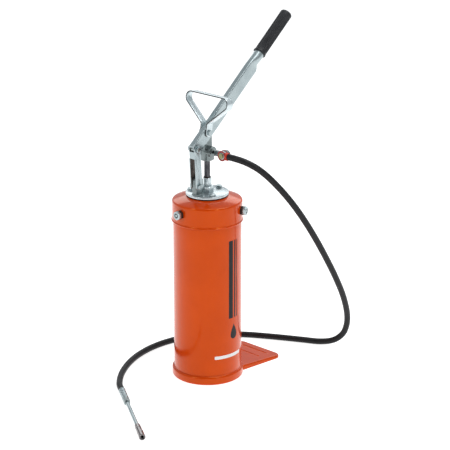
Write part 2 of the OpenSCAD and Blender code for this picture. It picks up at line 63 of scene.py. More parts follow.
def rounded(corners, steps=4):
    """A closed outline whose corners (x, y, radius) are rounded off."""
    out = []
    n = len(corners)
    for i in range(n):
        x, y, r = corners[i]
        p = Vector((x, y))
        a = Vector(corners[i - 1][:2]) - p
        b = Vector(corners[(i + 1) % n][:2]) - p
        if r <= 0:
            out.append((x, y))
            continue
        half = a.angle(b) / 2
        trim = min(r / math.tan(half), a.length * 0.49, b.length * 0.49)
        r = trim * math.tan(half)
        c = p + (a.normalized() + b.normalized()).normalized() * (r / math.sin(half))
        s = p + a.normalized() * trim - c
        e = p + b.normalized() * trim - c
        a0 = math.atan2(s.y, s.x)
        turn = (math.atan2(e.y, e.x) - a0 + PI) % (2 * PI) - PI
        for k in range(steps + 1):
            t = a0 + turn * k / steps
            out.append((c.x + r * math.cos(t), c.y + r * math.sin(t)))
    return out


def ngon(n, r, turn=0.0):
    return [(r * math.cos(2 * PI * i / n + turn), r * math.sin(2 * PI * i / n + turn)) for i in range(n)]


# ---------------------------------------------------------------- frames

def axis_frame(origin, z, x=None):
    """A matrix whose local Z is z, at origin in millimetres."""
    z = Vector(z).normalized()
    x = Vector(x) if x is not None else (Vector((1, 0, 0)) if abs(z.x) < 0.9 else Vector((0, 1, 0)))
    y = z.cross(x).normalized()
    x = y.cross(z).normalized()
    m = Matrix((x, y, z)).transposed().to_4x4()
    m.translation = Vector(origin)
    return m


UP = Matrix.Identity(4)


def at_angle(deg, r, z):
    """Radially outward from the drum's axis, local Z outward."""
    a = math.radians(deg)
    return axis_frame((r * math.cos(a), r * math.sin(a), z), (math.cos(a), math.sin(a), 0), (0, 0, 1))


# ---------------------------------------------------------------- meshes

def finish_mesh(name, bm, smooth=35):
    """An object in metres from a bmesh in millimetres."""
    bmesh.ops.remove_doubles(bm, verts=bm.verts, dist=1e-4)
    bmesh.ops.dissolve_degenerate(bm, edges=bm.edges, dist=1e-4)
    bmesh.ops.recalc_face_normals(bm, faces=bm.faces)
    bmesh.ops.scale(bm, vec=(MM, MM, MM), verts=bm.verts)
    me = bpy.data.meshes.new(name)
    bm.to_mesh(me)
    bm.free()
    ob = bpy.data.objects.new(name, me)
    bpy.context.scene.collection.objects.link(ob)
    shade(ob, smooth)
    return ob


def shade(ob, smooth=35):
    me = ob.data
    me.shade_smooth()
    me.set_sharp_from_angle(angle=math.radians(smooth))


def loft_bm(rings, closed_ring=True, loop=False):
    """Quads between rings of points, each ring with the same count."""
    bm = bmesh.new()
    rows = [[bm.verts.new(p) for p in ring] for ring in rings]
    n = len(rows[0])
    m = len(rows)
    for i in range(m if loop else m - 1):
        a, b = rows[i], rows[(i + 1) % m]
        for k in range(n if closed_ring else n - 1):
            bm.faces.new((a[k], a[(k + 1) % n], b[(k + 1) % n], b[k]))
    if closed_ring and not loop:
        bm.faces.new(rows[0][::-1])
        bm.faces.new(rows[-1])
    return bm


def lathe(name, profile, m=UP, seg=64, smooth=35, wave=None):
    """A closed profile of (radius, height) turned about the local Z of m.

    wave(angle, z) adds to the radius."""
    rings = []
    for r, z in profile:
        ring = []
        for i in range(seg):
            a = 2 * PI * i / seg
            rr = r + wave(a, z) if wave and r > 1e-6 else r
            ring.append(m @ Vector((rr * math.cos(a), rr * math.sin(a), z)))
        rings.append(ring)
    bm = bmesh.new()
    rows = []
    for (r, z), ring in zip(profile, rings):
        if r <= 1e-6:
            v = bm.verts.new(m @ Vector((0, 0, z)))
            rows.append([v] * seg)
        else:
            rows.append([bm.verts.new(p) for p in ring])
    n = len(rows)
    for i in range(n):
        a, b = rows[i], rows[(i + 1) % n]
        for k in range(seg):
            k2 = (k + 1) % seg
            quad = []
            for v in (a[k], a[k2], b[k2], b[k]):
                if v not in quad:
                    quad.append(v)
            if len(quad) >= 3:
                bm.faces.new(quad)
    return finish_mesh(name, bm, smooth)


def prism_bm(outline, z0, z1, bevel=0.0, steps=2, m=UP):
    """An outline in the local XY of m, extruded from z0 to z1 with its rims rounded by bevel."""
    bm = bmesh.new()
    low = [bm.verts.new((x, y, z0)) for x, y in outline]
    high = [bm.verts.new((x, y, z1)) for x, y in outline]
    n = len(outline)
    bm.faces.new(low[::-1])
    bm.faces.new(high)
    for i in range(n):
        bm.faces.new((low[i], low[(i + 1) % n], high[(i + 1) % n], high[i]))
    bmesh.ops.recalc_face_normals(bm, faces=bm.faces)
    if bevel > 0:
        rims = [e for e in bm.edges if abs(e.verts[0].co.z - e.verts[1].co.z) < 1e-6]
        bmesh.ops.bevel(bm, geom=rims, offset=bevel, segments=steps, profile=0.5,
                        affect="EDGES", clamp_overlap=True)
    bmesh.ops.transform(bm, matrix=m, verts=bm.verts)
    return bm


def prism(name, outline, z0, z1, bevel=0.0, steps=2, m=UP, smooth=35):
    return finish_mesh(name, prism_bm(outline, z0, z1, bevel, steps, m), smooth)


def apply_modifiers(ob, smooth=35):
    bpy.context.view_layer.update()
    dg = bpy.context.evaluated_depsgraph_get()
    me = bpy.data.meshes.new_from_object(ob.evaluated_get(dg))
    ob.modifiers.clear()
    ob.data = me
    shade(ob, smooth)
    return ob


def boolean(ob, others, op="DIFFERENCE", smooth=35):
    for o in others:
        mod = ob.modifiers.new("cut", "BOOLEAN")
        mod.operation = op
        mod.object = o
        mod.solver = "EXACT"
    apply_modifiers(ob, smooth)
    for o in others:
        bpy.data.objects.remove(o)
    return ob


def soften(ob, width, steps=2, angle=40, smooth=35):
    """Rounds the edges sharper than angle by width millimetres."""
    mod = ob.modifiers.new("round", "BEVEL")
    mod.width = width * MM
    mod.segments = steps
    mod.limit_method = "ANGLE"
    mod.angle_limit = math.radians(angle)
    mod.use_clamp_overlap = True
    return apply_modifiers(ob, smooth)


def cutter(m, r, z0, z1, seg=48):
    return lathe("cutter", [(0, z0), (r, z0), (r, z1), (0, z1)], m, seg)


def box_cutter(lo, hi, m=UP):
    outline = [(lo[0], lo[1]), (hi[0], lo[1]), (hi[0], hi[1]), (lo[0], hi[1])]
    return prism("cutter", outline, lo[2], hi[2], m=m)


def join(name, parts, smooth=35):
    """Several separate solids of one piece, joined into one object."""
    bm = bmesh.new()
    for o in parts:
        bm.from_mesh(o.data)
    for o in parts:
        bpy.data.objects.remove(o)
    me = bpy.data.meshes.new(name)
    bm.to_mesh(me)
    bm.free()
    ob = bpy.data.objects.new(name, me)
    bpy.context.scene.collection.objects.link(ob)
    shade(ob, smooth)
    return ob


def hexagon(name, af, z0, z1, m, bottom=False, turn=0.0, bore=0.0):
    """A hexagonal head or nut with its corners chamfered by a cone."""
    r = af / 2 / math.cos(PI / 6)
    c = (r - af / 2) * 1.15
    h = c * math.tan(math.radians(30))
    ob = prism(name, ngon(6, r, turn), z0, z1, m=m)
    prof = [(0, z0)]
    prof += [(r - c, z0), (r + 0.01, z0 + h)] if bottom else [(r + 1, z0)]
    prof += [(r + 0.01, z1 - h), (r - c, z1), (0, z1)]
    boolean(ob, [lathe("cutter", prof, m, 72)], "INTERSECT")
    if bore:
        boolean(ob, [lathe("cutter", [(0, z0 - 1), (bore, z0 - 1), (bore, z1 - 0.5), (bore + 0.7, z1 + 0.2),
                                      (0, z1 + 0.2)], m, 48)])
    return soften(ob, 0.18, 2, 25, 30)


def threaded(name, r, z0, z1, m, pitch=1.25, seg=48, depth=0.5):
    """A stub of screw thread, its end chamfered. The ridge winds up the stub."""
    rings = []
    rows = max(4, int((z1 - z0) / pitch * 8))
    for i in range(rows + 1):
        z = z0 + (z1 - z0) * i / rows
        ring = []
        for k in range(seg):
            a = 2 * PI * k / seg
            ph = (z / pitch - k / seg) % 1.0
            rr = r - depth * (1 - abs(2 * ph - 1))
            rr = min(rr, r - 0.9 + (z1 - z) * 1.0)
            ring.append(m @ Vector((rr * math.cos(a), rr * math.sin(a), z)))
        rings.append(ring)
    return finish_mesh(name, loft_bm(rings), 40)


# ---------------------------------------------------------------- materials

def new_material(name):
    mat = bpy.data.materials.new(name)
    mat.use_nodes = True
    nt = mat.node_tree
    return mat, nt, nt.nodes["Principled BSDF"]


def noise_node(nt, scale, detail=4.0, rough=0.55, stretch=None):
    tc = nt.nodes.new("ShaderNodeTexCoord")
    n = nt.nodes.new("ShaderNodeTexNoise")
    n.inputs["Scale"].default_value = scale
    n.inputs["Detail"].default_value = detail
    n.inputs["Roughness"].default_value = rough
    if stretch:
        mp = nt.nodes.new("ShaderNodeMapping")
        mp.inputs["Scale"].default_value = stretch
        nt.links.new(tc.outputs["Object"], mp.inputs["Vector"])
        nt.links.new(mp.outputs["Vector"], n.inputs["Vector"])
    else:
        nt.links.new(tc.outputs["Object"], n.inputs["Vector"])
    return n


def ramp_node(nt, src, stops):
    rp = nt.nodes.new("ShaderNodeValToRGB")
    el = rp.color_ramp.elements
    while len(el) < len(stops):
        el.new(0.5)
    for e, (pos, col) in zip(el, stops):
        e.position = pos
        e.color = (*col, 1)
    nt.links.new(src, rp.inputs["Fac"])
    return rp


def range_node(nt, src, lo, hi, a=0.3, b=0.7):
    mr = nt.nodes.new("ShaderNodeMapRange")
    mr.inputs["From Min"].default_value = a
    mr.inputs["From Max"].default_value = b
    mr.inputs["To Min"].default_value = lo
    mr.inputs["To Max"].default_value = hi
    nt.links.new(src, mr.inputs["Value"])
    return mr


def bump_node(nt, bsdf, src, strength, distance=0.001):
    bp = nt.nodes.new("ShaderNodeBump")
    bp.inputs["Strength"].default_value = strength
    bp.inputs["Distance"].default_value = distance
    nt.links.new(src, bp.inputs["Height"])
    nt.links.new(bp.outputs["Normal"], bsdf.inputs["Normal"])


def surface(name, dark, light, metallic=0.0, rough=(0.3, 0.5), tone_scale=40, grain_scale=900,
            grain=0.15, depth=0.0002, coat=0.0, stretch=None, gloss=0.5, tint=None):
    """Base colour between dark and light by a broad noise; roughness and bump by a fine one."""
    mat, nt, bsdf = new_material(name)
    broad = noise_node(nt, tone_scale, 5.0, 0.6)
    fine = noise_node(nt, grain_scale, 3.0, 0.6, stretch)
    tone = ramp_node(nt, broad.outputs["Fac"], [(0.35, dark), (0.65, light)])
    nt.links.new(tone.outputs["Color"], bsdf.inputs["Base Color"])
    mixed = nt.nodes.new("ShaderNodeMath")
    mixed.operation = "MULTIPLY"
    nt.links.new(broad.outputs["Fac"], mixed.inputs[0])
    nt.links.new(fine.outputs["Fac"], mixed.inputs[1])
    rg = range_node(nt, mixed.outputs[0], rough[0], rough[1], 0.15, 0.38)
    nt.links.new(rg.outputs["Result"], bsdf.inputs["Roughness"])
    bump_node(nt, bsdf, fine.outputs["Fac"], grain, depth)
    bsdf.inputs["Metallic"].default_value = metallic
    bsdf.inputs["Specular IOR Level"].default_value = gloss
    if tint:
        bsdf.inputs["Specular Tint"].default_value = (*tint, 1)
    if coat:
        bsdf.inputs["Coat Weight"].default_value = coat
        bsdf.inputs["Coat Roughness"].default_value = 0.05
    return mat


PAINT = surface("orange_enamel", (0.55, 0.042, 0.0003), (0.61, 0.050, 0.0004), 0.0, (0.12, 0.20),
                9, 420, 0.03, 0.0001, coat=0.20, gloss=0.7, tint=(1.0, 0.38, 0.05))
ZINC = surface("zinc_plate", (0.350, 0.410, 0.425), (0.440, 0.505, 0.515), 0.92, (0.22, 0.33), 25, 1400,
               0.03, 0.00005)
ZINC_LIGHT = surface("pale_zinc", (0.56, 0.63, 0.65), (0.66, 0.73, 0.75), 0.90, (0.24, 0.36), 30, 1400,
                     0.03, 0.00005)
CAST = surface("zinc_casting", (0.15, 0.18, 0.18), (0.27, 0.31, 0.31), 0.90, (0.25, 0.45), 90, 500, 0.12,
               0.0002)
ZINC_DULL = surface("dull_zinc", (0.30, 0.35, 0.35), (0.42, 0.47, 0.47), 0.88, (0.30, 0.45), 60, 700, 0.08,
                    0.0001)
# Painted shade: a near-black finish laid on the sheet's cut edges, where they read dark.
EDGE_SHADE = surface("painted_edge_shade", (0.05, 0.058, 0.06), (0.10, 0.11, 0.11), 0.80, (0.30, 0.50), 120, 900, 0.10)
# Painted shade: a dark finish for the inner faces of the link's channel.
PAINTED_SHADE_INSIDE = surface("painted_inside_shade", (0.095, 0.080, 0.070), (0.145, 0.125, 0.110), 0.60, (0.35, 0.55), 60,
                 900, 0.10)
ROD = surface("ground_rod", (0.045, 0.045, 0.050), (0.085, 0.085, 0.092), 0.95, (0.14, 0.26), 60, 700,
              0.05, 0.0001,
              stretch=(1, 1, 0.08))
BLACKENED = surface("blackened_steel", (0.018, 0.010, 0.008), (0.045, 0.028, 0.022), 0.5, (0.35, 0.55),
                    120, 900,
                    0.15, gloss=0.3)
YELLOW = surface("yellow_plate", (0.24, 0.24, 0.12), (0.34, 0.33, 0.17), 0.9, (0.30, 0.45), 150, 1500, 0.06)
BRASS = surface("brass", (0.50, 0.36, 0.14), (0.62, 0.47, 0.20), 1.0, (0.25, 0.4), 80, 900, 0.08)
COPPER = surface("copper_ring", (0.27, 0.040, 0.036), (0.36, 0.060, 0.050), 0.25, (0.30, 0.45), 160, 1200,
                 0.08,
                 gloss=0.3)
RED = surface("red_collar", (0.46, 0.030, 0.012), (0.56, 0.045, 0.018), 0.1, (0.25, 0.40), 120, 900, 0.06,
              gloss=0.3)
RUBBER = surface("hose_rubber", (0.007, 0.007, 0.008), (0.013, 0.013, 0.014), 0.0, (0.38, 0.52), 60, 1100,
                 0.20,
                 0.0002, gloss=0.22)
GRIP_RUBBER = surface("grip_rubber", (0.009, 0.010, 0.012), (0.017, 0.018, 0.021), 0.0, (0.40, 0.55), 50,
                      900, 0.20,
                      0.0002, gloss=0.3)
GASKET = surface("gasket", (0.012, 0.008, 0.006), (0.025, 0.017, 0.014), 0.0, (0.55, 0.75), 90, 900, 0.2,
                 gloss=0.2)
PACKING = surface("packing", (0.05, 0.04, 0.025), (0.11, 0.09, 0.06), 0.0, (0.7, 0.9), 200, 1200, 0.4)
JAWS = surface("hardened_steel", (0.10, 0.10, 0.105), (0.18, 0.18, 0.18), 0.95, (0.25, 0.40), 120, 1200,
               0.08)
CHROME = surface("bright_chrome", (0.215, 0.200, 0.200), (0.290, 0.270, 0.268), 1.0, (0.10, 0.20), 60,
                 1200, 0.03, 0.00005)
PRINT = surface("black_print", (0.008, 0.008, 0.008), (0.014, 0.014, 0.014), 0.0, (0.30, 0.45), 60, 900,
                0.05, gloss=0.2)
PRINT_WHITE = surface("white_print", (0.74, 0.73, 0.72), (0.80, 0.80, 0.79), 0.0, (0.3, 0.45), 60, 900,
                      0.05, gloss=0.3)
NYLON = surface("nylon_ring", (0.55, 0.56, 0.55), (0.65, 0.66, 0.64), 0.0, (0.4, 0.6), 120, 900, 0.1)

SLOT_MATERIAL = {
    "orange_paint": PAINT, "zinc_plate": ZINC, "plain_steel": ZINC_DULL, "hard_steel": ROD,
    "blackened_steel": BLACKENED, "yellow_plate": YELLOW, "brass": BRASS, "copper": COPPER,
    "red_plastic": RED, "rubber": GASKET, "packing": PACKING,
}
NODE_MATERIAL = {"coupler_body": CHROME, "coupler_sleeve": CHROME, "coupler_jaws": JAWS,
                 "extension_pipe": ZINC}


def put(ob, body, mat, slot, *nodes):
    """Gives a piece its material and its body, and hides the CAD nodes it stands for. The slot is not used.
    """
    ob.data.materials.clear()
    ob.data.materials.append(mat)
    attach(ob, body)
    if nodes:
        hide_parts(*nodes)
    return ob


def second_finish(ob, mat, chosen):
    """Gives the faces that chosen(face) picks a second material; called after put."""
    ob.data.materials.append(mat)
    k = len(ob.data.materials) - 1
    for p in ob.data.polygons:
        if chosen(p):
            p.material_index = k


# ---------------------------------------------------------------- camera and light

cam_data = bpy.data.cameras.new("camera")
cam_data.sensor_width = 36.0
cam_data.lens = 152.0
cam_data.clip_end = 60.0
camera = bpy.data.objects.new("camera", cam_data)
bpy.context.scene.collection.objects.link(camera)
camera.location = (-3.0801, -2.8287, 1.8189)
camera.rotation_euler = (math.radians(90 - 19.1), 0, math.radians(-48))
bpy.context.scene.camera = camera
bpy.context.scene.view_settings.view_transform = "Standard"

world = bpy.data.worlds.new("studio")
bpy.context.scene.world = world
world.use_nodes = True
wnt = world.node_tree
direction = wnt.nodes.new("ShaderNodeTexCoord")
to_front = wnt.nodes.new("ShaderNodeVectorMath")
to_front.operation = "DOT_PRODUCT"
to_front.inputs[1].default_value = (-0.743, -0.669, 0.0)
wnt.links.new(direction.outputs["Generated"], to_front.inputs[0])
tent = ramp_node(wnt, to_front.outputs["Value"], [(0.25, (0.74, 0.78, 0.81)), (0.80, (0.14, 0.14, 0.15))])
wnt.links.new(tent.outputs["Color"], wnt.nodes["Background"].inputs["Color"])
wnt.nodes["Background"].inputs["Strength"].default_value = 0.70


def area_light(name, location, target, size_x, size_y, power):
    data = bpy.data.lights.new(name, "AREA")
    data.shape = "RECTANGLE"
    data.size = size_x
    data.size_y = size_y
    data.energy = power
    ob = bpy.data.objects.new(name, data)
    bpy.context.scene.collection.objects.link(ob)
    ob.location = location
    ob.rotation_euler = (Vector(target) - Vector(location)).to_track_quat("-Z", "Y").to_euler()


RIGHT = Vector((0.669, -0.743, 0))
AHEAD = Vector((0.743, 0.669, 0))


def seen(right, ahead, up):
    """A point given as the camera sees it: to its right, away from it and up, in metres."""
    return RIGHT * right + AHEAD * ahead + Vector((0, 0, up))


area_light("left_box", seen(-1.9, -1.75, 1.9), (0, 0, 0.35), 0.5, 1.1, 15)
area_light("right_box", seen(1.5, -2.15, 1.9), (0, 0, 0.35), 0.5, 1.1, 16)
area_light("top_box", seen(0.7, 0.1, 2.5), (0, 0, 0.4), 1.6, 1.4, 24)
area_light("back_box", seen(0.0, 2.2, 1.6), (0, 0, 0.45), 3.0, 0.8, 11)

bm = bmesh.new()
bmesh.ops.create_grid(bm, x_segments=4, y_segments=4, size=12)
floor_mesh = bpy.data.meshes.new("floor")
bm.to_mesh(floor_mesh)
bm.free()
floor = bpy.data.objects.new("floor", floor_mesh)
bpy.context.scene.collection.objects.link(floor)
floor.location = (0, 0, -0.0004)
fmat, _, fb = new_material("floor_white")
fb.inputs["Base Color"].default_value = (0.55, 0.55, 0.55, 1)
fb.inputs["Roughness"].default_value = 0.75
fb.inputs["Emission Color"].default_value = (1, 1, 1, 1)
fb.inputs["Emission Strength"].default_value = 0.86
floor_mesh.materials.append(fmat)


# ---------------------------------------------------------------- hose

ROUTE = [(-5.5, -71, 552), (-5.5, -92, 552), (4, -115, 546), (20, -136, 532), (40, -150, 511),
         (63, -161, 484),
         (87, -170, 454), (111, -177, 422), (136, -182, 387), (161, -185, 351), (186, -186, 315),
         (211, -186, 278),
         (236, -185, 241), (260, -183, 204), (284, -179, 167), (306, -173, 129), (324, -165, 94),
         (334, -156, 62),
         (335, -143, 34), (326, -122, 15), (310, -93, 8), (290, -55, 8), (270, -15, 8), (247, 28, 8),
         (222, 70, 8),
         (190, 111, 8), (152, 147, 8), (108, 172, 8), (60, 186, 8), (10, 190, 8), (-40, 184, 8),
         (-87, 170, 8),
         (-131, 149, 8), (-171, 123, 8), (-208, 90, 8), (-228, 62, 8)]
HOSE_R = 7.5
TIP = Vector((-228, 62, 8))
TIP_DIR = Vector((math.cos(math.atan2(-0.818, -0.575)), math.sin(math.atan2(-0.818, -0.575)), 0))


def smooth_line(points, per, start, end):
    """A Catmull-Rom line through the points, leaving along start and arriving along end."""
    p = [Vector(q) for q in points]
    first = p[0] - Vector(start) * (p[1] - p[0]).length
    last = p[-1] + Vector(end) * (p[-1] - p[-2]).length
    q = [first] + p + [last]
    out = []
    for i in range(1, len(q) - 2):
        for k in range(per):
            t = k / per
            a, b, c, d = q[i - 1], q[i], q[i + 1], q[i + 2]
            out.append(0.5 * ((2 * b) + (c - a) * t + (2 * a - 5 * b + 4 * c - d) * t * t
                              + (3 * b - a - 3 * c + d) * t ** 3))
    out.append(p[-1])
    return out


def sweep_rings(line, radius, sides):
    """Rings round a line, carried along it without twist."""
    t = (line[1] - line[0]).normalized()
    u = t.orthogonal().normalized()
    rings = []
    for i, p in enumerate(line):
        a = line[max(i - 1, 0)]
        b = line[min(i + 1, len(line) - 1)]
        t = (b - a).normalized()
        u = (u - t * u.dot(t)).normalized()
        v = t.cross(u)
        rings.append([p + (u * math.cos(2 * PI * k / sides) + v * math.sin(2 * PI * k / sides)) * radius
                      for k in range(sides)])
    return rings


hose_line = smooth_line(ROUTE, 8, (0, -1, 0), TIP_DIR)
hose = finish_mesh("delivery_hose", loft_bm(sweep_rings(hose_line, HOSE_R, 20)), 50)
hose.data.materials.append(RUBBER)
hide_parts("hose")
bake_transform(hose)

# ---------------------------------------------------------------- drum, base and foot plate

B, T, H = (-36.5, 475.0), (-42.0, 565.0), (-4.0, 597.0)      # the three pivots, X and Z
OUTLET_Z = 552.0
DRUM_R = 80.0
BOLT_CIRCLE_R = 40
BANJO_Y = -54.5
LID_R = 82.1
SCREW_Z = 415.0
SCREW_ANGLES = (54.5, 174.5, 294.5)
BOLT_ANGLES = (0, 120, 240)
FLANGE_TOP = 454.0


def at_y(p, y=0.0, toward=-1):
    """At the point p = (x, z) of the linkage's plane, local Z along -Y or +Y."""
    return axis_frame((p[0], y, p[1]), (0, toward, 0), (1, 0, 0))


def along_x(x, y, z, toward=1):
    return axis_frame((x, y, z), (toward, 0, 0), (0, 0, 1))


SIDE = at_y((0, 0))


def face_towards(ob, direction):
    """Turns an open sheet's faces over if they look away from direction on the whole."""
    total = sum(p.area * p.normal.dot(Vector(direction)) for p in ob.data.polygons)
    if total < 0:
        ob.data.flip_normals()
    return ob


def thicken(ob, t, smooth=35):
    mod = ob.modifiers.new("sheet", "SOLIDIFY")
    mod.thickness = t * MM
    mod.offset = -1
    mod.use_even_offset = True
    return apply_modifiers(ob, smooth)


drum = lathe("drum_sheet", [(0, 3.02), (77, 3.02)] + arc2(77, 6.02, 3, -90, 0, 5)[1:]
             + [(DRUM_R, z) for z in (40, 120, 200, 280, 360)]
             + [(DRUM_R, 430.4), (79.6, 431), (78.9, 431), (78.5, 430.4), (78.5, 4.52), (0, 4.52)], seg=160)
put(drum, "base", PAINT, "orange_paint", "drum_shell")

base_pan = lathe("base_pan", [(0, 0), (80.5, 0)] + arc2(80.5, 4, 4, -90, 0, 6)[1:]
                 + arc2(78.5, 16, 6, 0, 75, 8) + [(80.04, 3), (0, 3)], seg=160)
put(base_pan, "base", PAINT, "orange_paint", "base_cap")

FOOT_REACH, FOOT_W, FOOT_R = 190.0, 140.0, 18.0
FOOT_FLARE, FOOT_SLOPE, FOOT_TURN = math.radians(6.3), math.radians(2.6), math.radians(-1)
FOOT_H, FOOT_START = 12.0, 60.0
CAP_EDGE = 84.54
ROLL = 4.0


def foot_row(inset, sides=22, corner=10, front=36):
    """The foot plate's outline, inset from its edge: from the drum round the outer end and back."""
    k = math.tan(FOOT_FLARE)
    r = FOOT_R - inset
    u = FOOT_REACH - FOOT_R
    v = FOOT_W / 2 - FOOT_R * k - FOOT_R / math.cos(FOOT_FLARE)
    v0 = v + r / math.cos(FOOT_FLARE) - u * k
    q = (-k * v0 + math.sqrt((k * v0) ** 2 - (1 + k * k) * (v0 * v0 - CAP_EDGE ** 2))) / (1 + k * k)
    bend = arc2(u, v, r, 90 + math.degrees(FOOT_FLARE), 0, corner)
    half = [(q + (bend[0][0] - q) * i / sides, v0 + k * (q + (bend[0][0] - q) * i / sides))
            for i in range(sides)] + bend
    return half + [(u + r, v * (1 - 2 * i / front)) for i in range(1, front)] + [(x, -y) for x,
                                                                                 y in reversed(half)]


def foot_height(u, v):
    """The plate's top at (u, v): it slopes outwards and carries two pressed ribs."""
    z = FOOT_H - (u - FOOT_START) * math.tan(FOOT_SLOPE)
    for rib in (139.0, 167.0):
        d = math.hypot(u - rib, max(abs(v) - 38.5, 0))
        if d < 3.4:
            z += 1.7 * math.cos(PI / 2 * d / 3.4) ** 2
    return z


def build_foot():
    """The foot plate: rows run from the drum out to the rolled edge."""
    edge = foot_row(ROLL)
    run = [0.0]
    for a, b in zip(edge, edge[1:]):
        run.append(run[-1] + math.hypot(b[0] - a[0], b[1] - a[1]))
    end = math.atan2(edge[0][1], edge[0][0])
    rows = []
    steps = 84
    for j in range(steps):
        row = []
        for (x, y), s in zip(edge, run):
            a = end * (1 - 2 * s / run[-1])
            u = CAP_EDGE * math.cos(a) * (1 - j / steps) + x * j / steps
            v = CAP_EDGE * math.sin(a) * (1 - j / steps) + y * j / steps
            row.append((u, v, foot_height(u, v)))
        rows.append(row)
    for k in range(7):
        a = PI / 2 * k / 6
        rows.append([(x, y, foot_height(x, 90) - ROLL * (1 - math.cos(a)))
                     for x, y in foot_row(ROLL * (1 - math.sin(a)))])
    rows.append([(x, y, 0.0) for x, y in foot_row(0)])
    turn = Matrix.Rotation(FOOT_TURN, 4, "Z")
    ob = finish_mesh("foot_pedal",
                     loft_bm([[turn @ Vector(p) for p in row] for row in rows], closed_ring=False))
    return thicken(face_towards(ob, (0, 0, 1)), 2.0)


put(build_foot(), "base", PAINT, "orange_paint", "foot_plate")


# ---------------------------------------------------------------- lid, flange and gland

def bolt_cutters(r, z0, z1):
    return [cutter(axis_frame((BOLT_CIRCLE_R * math.cos(math.radians(a)),
                               BOLT_CIRCLE_R * math.sin(math.radians(a)), 0), (0, 0, 1)),
                   r, z0, z1, 32) for a in BOLT_ANGLES]


lid = lathe("pressed_lid",
            [(22, 446), (50, 446)] + arc2(77.1, 432, 5, 72, 0, 8) + [(LID_R, 410), (LID_R, 391.4),
                                                                     (82.3, 390.3), (82.8, 389.8)]
            + arc2(82.05, 387.9, 1.9, 60, -150, 12) + [(80.6, 389)] + arc2(77.1, 432, 3.5, 0, 72, 6)
            + [(50, 444.5), (22, 444.5)], seg=160)
boolean(lid, [cutter(at_angle(a, 0, SCREW_Z), 6.3, 76, 88) for a in SCREW_ANGLES] + bolt_cutters(4.3, 438,
                                                                                                 454))
put(lid, "base", PAINT, "orange_paint", "lid")

heads, nuts, recess_shades = [], [], []
for a in SCREW_ANGLES:
    m = at_angle(a, LID_R, SCREW_Z)
    head = hexagon("head", 19, 6.42, 13.9, m)
    boolean(head, [lathe("cutter", [(3.0, 11.7), (5.9, 11.7), (5.9, 14.5), (3.0, 14.5)], m, 48)])
    shank = lathe("shank", [(0, -2.08), (6, -2.08), (6, 6.6), (0, 6.6)], m, 48)
    heads += [head, shank]
    nuts.append(hexagon("nut", 19, 0.02, 6.38, m, bottom=True, bore=6.02))
    # A thin near-black ring at the bottom of each head's recess: painted shade in the recess.
    recess_shades.append(lathe("ring", [(3.05, 11.72), (5.85, 11.72), (5.85, 12.2), (3.05, 12.2)], m, 48))
put(join("clamp_screws", heads), "base", ZINC, "zinc_plate", "lid_screws")
put(join("clamp_nuts", nuts), "base", BLACKENED, "blackened_steel", "lid_nuts")
put(join("clamp_screw_recess_shade", recess_shades), "base", GASKET, "rubber")

gasket = lathe("flange_seal", [(22, 446.02), (49.2, 446.02), (49.5, 446.4), (49.5, 448.1), (49.2, 448.48),
                               (22, 448.48)], seg=120)
boolean(gasket, bolt_cutters(4.3, 440, 452))
put(gasket, "base", GASKET, "rubber", "flange_gasket")

flange = lathe("flange_disc",
               [(12.52, 448.5), (49.3, 448.5), (50, 449.2), (50, 453.1), (49.7, 453.7), (49.1, 454),
                               (12.52, 454)], seg=128)
boolean(flange, bolt_cutters(4.3, 440, 460))
put(flange, "base", ZINC_LIGHT, "zinc_plate", "pump_flange")

parts = []
for a in BOLT_ANGLES:
    t = math.radians(a)
    m = axis_frame((BOLT_CIRCLE_R * math.cos(t), BOLT_CIRCLE_R * math.sin(t), 0), (0, 0, 1))
    parts += [hexagon("head", 13, FLANGE_TOP + 0.5, FLANGE_TOP + 5.3, m, turn=t),
              lathe("face", [(0, 454.02), (6.3, 454.02), (6.3, 454.5), (0, 454.5)], m, 48),
              lathe("shank", [(0, 437.9), (4, 437.9), (4, 454.1), (0, 454.1)], m, 32),
              threaded("thread", 4, 432, 437.9, m, seg=32),
              hexagon("nut", 13, 437.98, 444.46, m, bottom=True, turn=t, bore=4.02)]
put(join("flange_screws", parts), "base", ZINC, "zinc_plate", "flange_bolts")

post = prism("cast_post", rounded([(-44, 454.02, 0), (-22, 454.02, 0), (-22, 496, 9), (-44, 496, 9)], 8),
             -7, 7, 0.9, 2, SIDE)
boolean(post, [cutter(at_y(B), 4.05, -9, 9)])
put(post, "base", CAST, "plain_steel", "post")


def weld_bead(name, outline, z, r, sides=10):
    """A rippled bead along a closed outline lying in a level plane."""
    n = len(outline)
    rings = []
    for i, (x, y) in enumerate(outline):
        t = Vector(outline[(i + 1) % n]) - Vector(outline[i - 1])
        out = Vector((t.y, -t.x, 0)).normalized()
        rr = r * (1 + 0.10 * math.sin(i * 1.9))
        turns = [2 * PI * k / sides for k in range(sides)]
        rings.append([Vector((x, y, z)) + (out * math.cos(a) + Vector((0, 0, 1)) * math.sin(a)) * rr
                      for a in turns])
    return finish_mesh(name, loft_bm(rings, loop=True), 50)


def dense(outline, step):
    """The same closed outline with points no further than step apart."""
    out = []
    for i, p in enumerate(outline):
        a, b = Vector(p), Vector(outline[(i + 1) % len(outline)])
        n = max(1, round((b - a).length / step))
        out += [tuple(a.lerp(b, k / n)) for k in range(n)]
    return out


foot_of_post = dense(rounded([(-44.3, -7.3, 2), (-21.7, -7.3, 2), (-21.7, 7.3, 2), (-44.3, 7.3, 2)], 3),
                     1.2)
put(weld_bead("post_weld", foot_of_post, FLANGE_TOP + 0.5, 1.5), "base", ZINC_DULL, "plain_steel")

